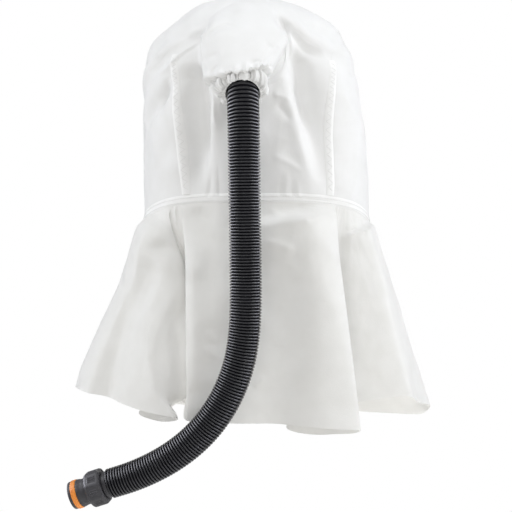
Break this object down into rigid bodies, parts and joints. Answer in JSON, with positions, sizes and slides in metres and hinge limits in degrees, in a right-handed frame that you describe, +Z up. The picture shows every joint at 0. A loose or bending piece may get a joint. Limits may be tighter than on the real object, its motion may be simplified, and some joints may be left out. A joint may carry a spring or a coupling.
{
  "type": "respirator hood",
  "caption": "White cloth respirator hood with a clear visor, a long folded shoulder cape and a corrugated breathing hose that runs from a gathered sleeve on the back to a push-in coupling.",
  "frame": {"origin": "under the top of the crown, where the wearer's head carries the hood", "axes": "+Z up, +Y the way the wearer faces, +X to the wearer's right"},
  "size_m": [0.4511, 0.3764, 0.6045],
  "materials": {
    "cloth": "matt laminated non-woven",
    "tape": "matt",
    "visor": "clear gloss",
    "hose": "satin",
    "fitting": "fine grain",
    "gasket": "satin"
  },
  "bodies": {
    "root": {"crown": "cloth", "back_panel": "cloth", "side_panel_left": "cloth", "side_panel_right": "cloth", "visor": "visor", "seam_tape_left": "tape", "seam_tape_right": "tape", "neck_band": "tape", "cape": "cloth", "hose_sleeve": "cloth", "hose_elbow": "fitting", "hose": "hose", "hose_cuff": "fitting", "coupling_grip": "fitting", "coupling_spigot": "fitting", "coupling_gasket": "gasket"}
  },
  "joints": []
}
